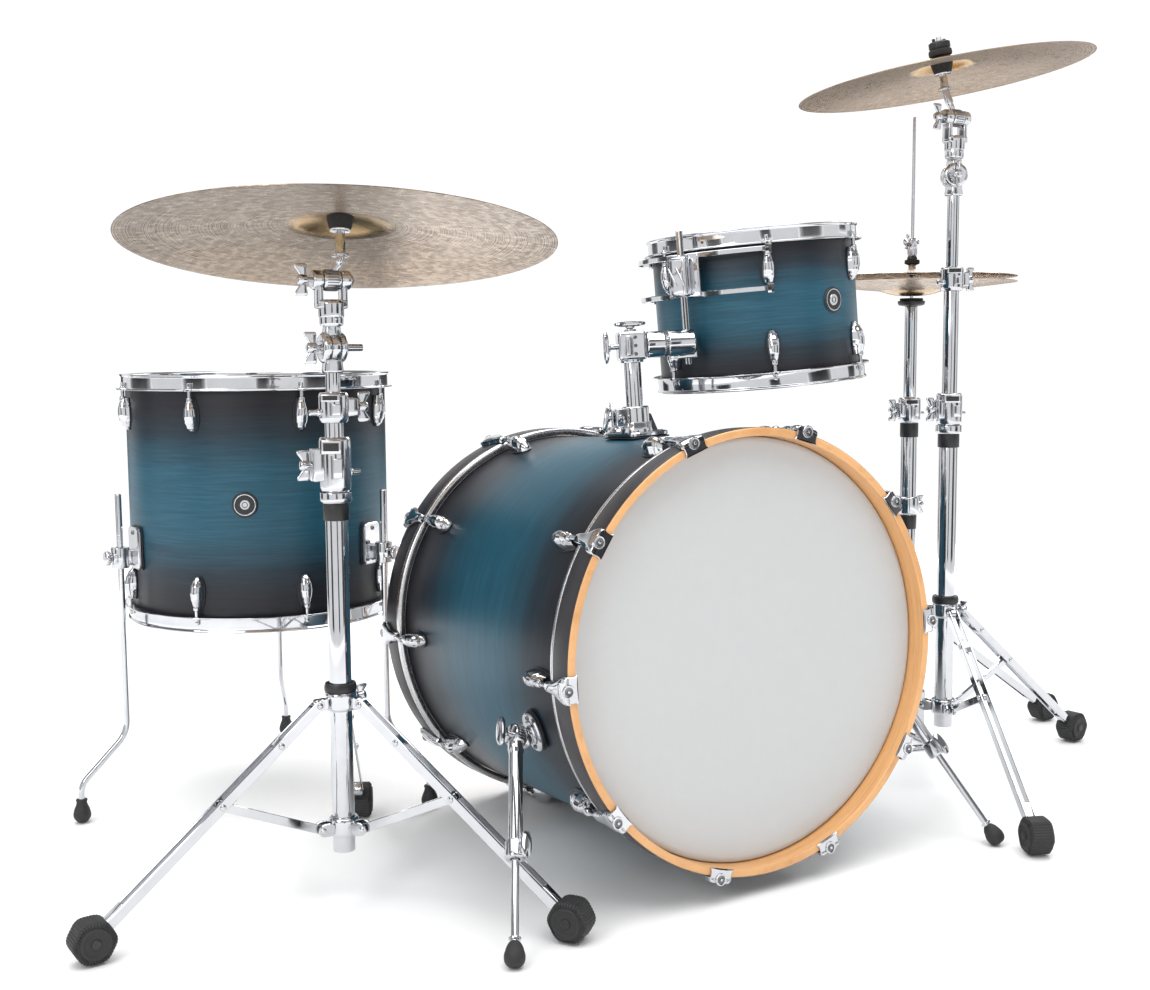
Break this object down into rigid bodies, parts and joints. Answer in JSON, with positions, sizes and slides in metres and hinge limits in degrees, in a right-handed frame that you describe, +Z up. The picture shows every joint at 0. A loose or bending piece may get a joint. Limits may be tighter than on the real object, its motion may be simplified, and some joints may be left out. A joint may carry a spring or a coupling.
{
  "type": "acoustic drum kit",
  "caption": "Drum kit of bass drum with mounted tom, floor tom on legs, ride and crash cymbals on folding stands and a pedal hi-hat; teal burst shells, chrome hardware.",
  "frame": {"origin": "centre of the kit's footprint, on the floor", "axes": "+Z up; -Y towards the audience, where the bass drum's front face looks, tipped up 2.6 degrees; +X towards the hi-hat"},
  "size_m": [1.8518, 1.2026, 1.2045],
  "materials": {
    "lacquer": "satin teal lacquer fading to charcoal at both shell ends",
    "maple": "natural satin front edge, charcoal outside",
    "chrome": "polished",
    "head_film": "smooth white polyester",
    "bronze": "lathed and hammered cymbal bronze",
    "rubber": "matt black",
    "felt": "black felt",
    "black_plastic": "black nylon and gaskets"
  },
  "bodies": {
    "kit": {"bass_shell": "lacquer", "bass_front_head": "head_film", "bass_front_hoop": "maple", "bass_front_tension": "chrome", "bass_batter_head": "head_film", "bass_batter_hoop": "maple", "bass_batter_tension": "chrome", "spur_bracket_left": "chrome", "spur_bracket_right": "chrome", "tom_mount_base": "chrome", "floor_tom_shell": "lacquer", "floor_tom_top_head": "head_film", "floor_tom_top_rim": "chrome", "floor_tom_bottom_head": "head_film", "floor_tom_bottom_rim": "chrome", "ride_base_tube": "chrome", "crash_base_tube": "chrome", "hihat_column": "chrome", "hihat_bottom_cymbal": "bronze"},
    "spur_left": {"spur_tube_left": "chrome"},
    "spur_tip_left": {"spur_rod_left": "chrome"},
    "spur_right": {"spur_tube_right": "chrome"},
    "spur_tip_right": {"spur_rod_right": "chrome"},
    "tom_post": {"tom_post": "chrome"},
    "tom_head_clamp": {"tom_post_head": "chrome"},
    "tom_arm": {"tom_arm": "chrome"},
    "tom": {"tom_shell": "lacquer", "tom_top_head": "head_film", "tom_top_rim": "chrome", "tom_bottom_head": "head_film", "tom_bottom_rim": "chrome", "tom_bracket": "chrome"},
    "floor_tom_leg_1": {"floor_tom_leg_1": "chrome"},
    "floor_tom_leg_2": {"floor_tom_leg_2": "chrome"},
    "floor_tom_leg_3": {"floor_tom_leg_3": "chrome"},
    "ride_collar": {"ride_leg_collar": "chrome"},
    "ride_leg_1": {"ride_leg_1": "chrome"},
    "ride_leg_2": {"ride_leg_2": "chrome"},
    "ride_leg_3": {"ride_leg_3": "chrome"},
    "ride_brace_1": {"ride_brace_1": "chrome"},
    "ride_brace_2": {"ride_brace_2": "chrome"},
    "ride_brace_3": {"ride_brace_3": "chrome"},
    "ride_upper": {"ride_upper_tube": "chrome"},
    "ride_tilter": {"ride_tilter": "chrome"},
    "ride_cymbal": {"ride_cymbal": "bronze"},
    "crash_collar": {"crash_leg_collar": "chrome"},
    "crash_leg_1": {"crash_leg_1": "chrome"},
    "crash_leg_2": {"crash_leg_2": "chrome"},
    "crash_leg_3": {"crash_leg_3": "chrome"},
    "crash_brace_1": {"crash_brace_1": "chrome"},
    "crash_brace_2": {"crash_brace_2": "chrome"},
    "crash_brace_3": {"crash_brace_3": "chrome"},
    "crash_upper": {"crash_upper_tube": "chrome"},
    "crash_tilter": {"crash_tilter": "chrome"},
    "crash_cymbal": {"crash_cymbal": "bronze"},
    "hihat_leg_1": {"hihat_leg_1": "chrome"},
    "hihat_leg_2": {"hihat_leg_2": "chrome"},
    "hihat_pedal": {"hihat_footboard": "chrome"},
    "hihat_rod": {"hihat_pull_rod": "chrome", "hihat_top_cymbal": "bronze"}
  },
  "joints": [
    {"name": "spur_fold_left", "type": "hinge", "parent": "kit", "child": "spur_left", "pos_m": [-0.38732, -0.34791, 0.22279], "axis": [-0.9149, 0, 0.4037], "range_deg": [0, 53]},
    {"name": "spur_length_left", "type": "slide", "parent": "spur_left", "child": "spur_tip_left", "axis": [0.3265, 0.5882, 0.7399], "range_m": [0, 0.035]},
    {"name": "spur_fold_right", "type": "hinge", "parent": "kit", "child": "spur_right", "pos_m": [0.21526, -0.3467, 0.24907], "axis": [-0.94, 0, -0.3412], "range_deg": [0, 56]},
    {"name": "spur_length_right", "type": "slide", "parent": "spur_right", "child": "spur_tip_right", "axis": [-0.2836, 0.5558, 0.7814], "range_m": [0, 0.035]},
    {"name": "tom_height", "type": "slide", "parent": "kit", "child": "tom_post", "axis": [-0.0436, 0.046, 0.998], "range_m": [-0.015, 0.05]},
    {"name": "tom_swivel", "type": "hinge", "parent": "tom_post", "child": "tom_head_clamp", "pos_m": [-0.1074, -0.18491, 0.71849], "axis": [-0.0436, 0.046, 0.998], "range_deg": [-30, 45]},
    {"name": "tom_tilt", "type": "hinge", "parent": "tom_head_clamp", "child": "tom_arm", "pos_m": [-0.03151, -0.2177, 0.72332], "axis": [0.9164, -0.396, 0.0583], "range_deg": [-10, 10]},
    {"name": "tom_on_rod", "type": "slide", "parent": "tom_arm", "child": "tom", "axis": [-0.0776, 0.0246, 0.9967], "range_m": [-0.015, 0.03]},
    {"name": "floor_leg_1_height", "type": "slide", "parent": "kit", "child": "floor_tom_leg_1", "axis": [0, 0, 1], "range_m": [0, 0.15]},
    {"name": "floor_leg_2_height", "type": "slide", "parent": "kit", "child": "floor_tom_leg_2", "axis": [0, 0, 1], "range_m": [0, 0.02]},
    {"name": "floor_leg_3_height", "type": "slide", "parent": "kit", "child": "floor_tom_leg_3", "axis": [0, 0, 1], "range_m": [0, 0.15]},
    {"name": "ride_collar_slide", "type": "slide", "parent": "kit", "child": "ride_collar", "axis": [0, 0, 1], "range_m": [0, 0.13]},
    {"name": "ride_leg_1_fold", "type": "hinge", "parent": "ride_collar", "child": "ride_leg_1", "pos_m": [-0.55904, -0.18651, 0.26403], "axis": [-0.9063, 0.4226, 0], "range_deg": [-0.1, 32.3]},
    {"name": "ride_leg_2_fold", "type": "hinge", "parent": "ride_collar", "child": "ride_leg_2", "pos_m": [-0.55415, -0.24242, 0.26403], "axis": [0.8192, 0.5736, 0], "range_deg": [-0.1, 32.3]},
    {"name": "ride_leg_3_fold", "type": "hinge", "parent": "ride_collar", "child": "ride_leg_3", "pos_m": [-0.60501, -0.2187, 0.26403], "axis": [0.0872, -0.9962, 0], "range_deg": [-0.1, 32.3]},
    {"name": "ride_brace_1_fold", "type": "hinge", "parent": "kit", "child": "ride_brace_1", "pos_m": [-0.55904, -0.18651, 0.10003], "axis": [-0.9063, 0.4226, 0], "range_deg": [-44.2, 0.1]},
    {"name": "ride_brace_2_fold", "type": "hinge", "parent": "kit", "child": "ride_brace_2", "pos_m": [-0.55415, -0.24242, 0.10003], "axis": [0.8192, 0.5736, 0], "range_deg": [-44.2, 0.1]},
    {"name": "ride_brace_3_fold", "type": "hinge", "parent": "kit", "child": "ride_brace_3", "pos_m": [-0.60501, -0.2187, 0.10003], "axis": [0.0872, -0.9962, 0], "range_deg": [-44.2, 0.1]},
    {"name": "ride_height", "type": "slide", "parent": "kit", "child": "ride_upper", "axis": [0, 0, 1], "range_m": [0, 0.11]},
    {"name": "ride_tilt", "type": "hinge", "parent": "ride_upper", "child": "ride_tilter", "pos_m": [-0.57273, -0.21588, 0.80203], "axis": [1, 0, 0], "range_deg": [-22, 22]},
    {"name": "ride_cymbal_rock", "type": "hinge", "parent": "ride_tilter", "child": "ride_cymbal", "pos_m": [-0.55482, -0.2081, 0.88853], "axis": [0.9971, -0.0104, -0.0753], "range_deg": [-8, 8]},
    {"name": "crash_collar_slide", "type": "slide", "parent": "kit", "child": "crash_collar", "axis": [0, 0, 1], "range_m": [0, 0.13]},
    {"name": "crash_leg_1_fold", "type": "hinge", "parent": "crash_collar", "child": "crash_leg_1", "pos_m": [0.50239, -0.23643, 0.28203], "axis": [-0.1045, 0.9945, 0], "range_deg": [-0.1, 31]},
    {"name": "crash_leg_2_fold", "type": "hinge", "parent": "crash_collar", "child": "crash_leg_2", "pos_m": [0.45615, -0.27002, 0.28203], "axis": [0.9135, -0.4067, 0], "range_deg": [-0.1, 31]},
    {"name": "crash_leg_3_fold", "type": "hinge", "parent": "crash_collar", "child": "crash_leg_3", "pos_m": [0.45017, -0.21318, 0.28203], "axis": [-0.809, -0.5878, 0], "range_deg": [-0.1, 31]},
    {"name": "crash_brace_1_fold", "type": "hinge", "parent": "kit", "child": "crash_brace_1", "pos_m": [0.50239, -0.23643, 0.12203], "axis": [-0.1045, 0.9945, 0], "range_deg": [-42.5, 0.1]},
    {"name": "crash_brace_2_fold", "type": "hinge", "parent": "kit", "child": "crash_brace_2", "pos_m": [0.45615, -0.27002, 0.12203], "axis": [0.9135, -0.4067, 0], "range_deg": [-42.5, 0.1]},
    {"name": "crash_brace_3_fold", "type": "hinge", "parent": "kit", "child": "crash_brace_3", "pos_m": [0.45017, -0.21318, 0.12203], "axis": [-0.809, -0.5878, 0], "range_deg": [-42.5, 0.1]},
    {"name": "crash_height", "type": "slide", "parent": "kit", "child": "crash_upper", "axis": [0, 0, 1], "range_m": [0, 0.11]},
    {"name": "crash_tilt", "type": "hinge", "parent": "crash_upper", "child": "crash_tilter", "pos_m": [0.46957, -0.23988, 1.07603], "axis": [1, 0, 0], "range_deg": [-5, 25]},
    {"name": "crash_cymbal_rock", "type": "hinge", "parent": "crash_tilter", "child": "crash_cymbal", "pos_m": [0.45041, -0.22577, 1.16927], "axis": [0.5213, 0.8534, 0.0076], "range_deg": [-8, 8]},
    {"name": "hihat_leg_1_fold", "type": "hinge", "parent": "kit", "child": "hihat_leg_1", "pos_m": [0.59649, -0.05425, 0.23603], "axis": [-0.0698, -0.9976, 0], "range_deg": [0, 100]},
    {"name": "hihat_leg_2_fold", "type": "hinge", "parent": "kit", "child": "hihat_leg_2", "pos_m": [0.54874, -0.02082, 0.23603], "axis": [0.9135, 0.4067, 0], "range_deg": [0, 100]},
    {"name": "hihat_rod_slide", "type": "slide", "parent": "kit", "child": "hihat_rod", "axis": [0, 0, 1], "range_m": [-0.007, 0], "stiffness_N_per_m": 1200, "springref_m": 0.03},
    {"name": "hihat_pedal_press", "type": "hinge", "parent": "kit", "child": "hihat_pedal", "pos_m": [0.59973, 0.15887, 0.02203], "axis": [-0.9848, 0.1736, 0], "range_deg": [-2.3, 0.1]}
  ],
  "couplings": [
    {"joint": "ride_leg_1_fold", "follows": "ride_collar_slide", "rad_per_m": 4.3187},
    {"joint": "ride_leg_2_fold", "follows": "ride_collar_slide", "rad_per_m": 4.3187},
    {"joint": "ride_leg_3_fold", "follows": "ride_collar_slide", "rad_per_m": 4.3187},
    {"joint": "ride_brace_1_fold", "follows": "ride_collar_slide", "rad_per_m": -5.9187},
    {"joint": "ride_brace_2_fold", "follows": "ride_collar_slide", "rad_per_m": -5.9187},
    {"joint": "ride_brace_3_fold", "follows": "ride_collar_slide", "rad_per_m": -5.9187},
    {"joint": "crash_leg_1_fold", "follows": "crash_collar_slide", "rad_per_m": 4.145},
    {"joint": "crash_leg_2_fold", "follows": "crash_collar_slide", "rad_per_m": 4.145},
    {"joint": "crash_leg_3_fold", "follows": "crash_collar_slide", "rad_per_m": 4.145},
    {"joint": "crash_brace_1_fold", "follows": "crash_collar_slide", "rad_per_m": -5.6862},
    {"joint": "crash_brace_2_fold", "follows": "crash_collar_slide", "rad_per_m": -5.6862},
    {"joint": "crash_brace_3_fold", "follows": "crash_collar_slide", "rad_per_m": -5.6862},
    {"joint": "hihat_pedal_press", "follows": "hihat_rod_slide", "rad_per_m": 5.2}
  ]
}
